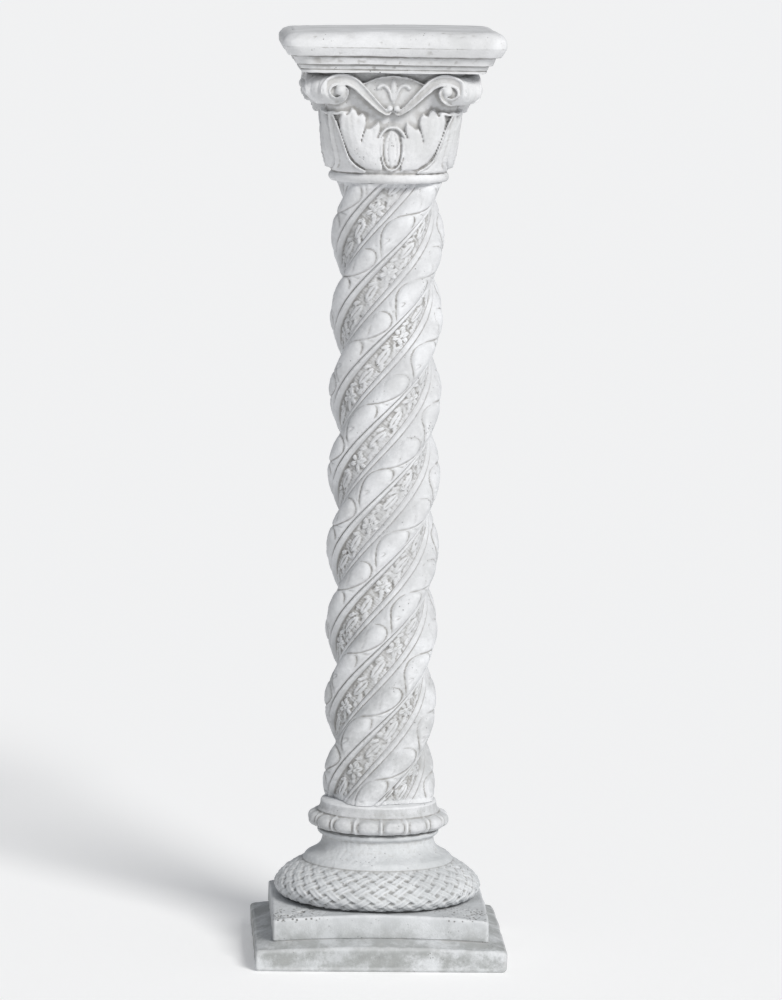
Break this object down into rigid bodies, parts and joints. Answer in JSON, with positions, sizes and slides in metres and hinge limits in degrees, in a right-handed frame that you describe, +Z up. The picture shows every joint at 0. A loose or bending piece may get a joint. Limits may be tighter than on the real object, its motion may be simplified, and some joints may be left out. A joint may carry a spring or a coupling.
{
  "type": "twisted column",
  "caption": "Freestanding cast-stone column with a spiral carved shaft, an acanthus and scroll capital under a square abacus, and a woven torus on a square plinth.",
  "frame": {"origin": "middle of the underside of the lower slab, on the column's axis, where the column stands on the ground", "axes": "+Z up along the column's axis, the front face of the column towards -Y, the slab's sides parallel to X and Y"},
  "size_m": [0.301, 0.301, 1.1166],
  "materials": {
    "base_stone": "weathered pale grey cast stone, pitted, grey-brown grime in the recesses",
    "shaft_stone": "weathered pale grey-white cast stone, grime in the sunk bands",
    "capital_stone": "weathered pale grey-white cast stone, dark grime in the recesses"
  },
  "bodies": {
    "root": {"base": "base_stone", "shaft": "shaft_stone", "capital": "capital_stone"}
  },
  "joints": []
}
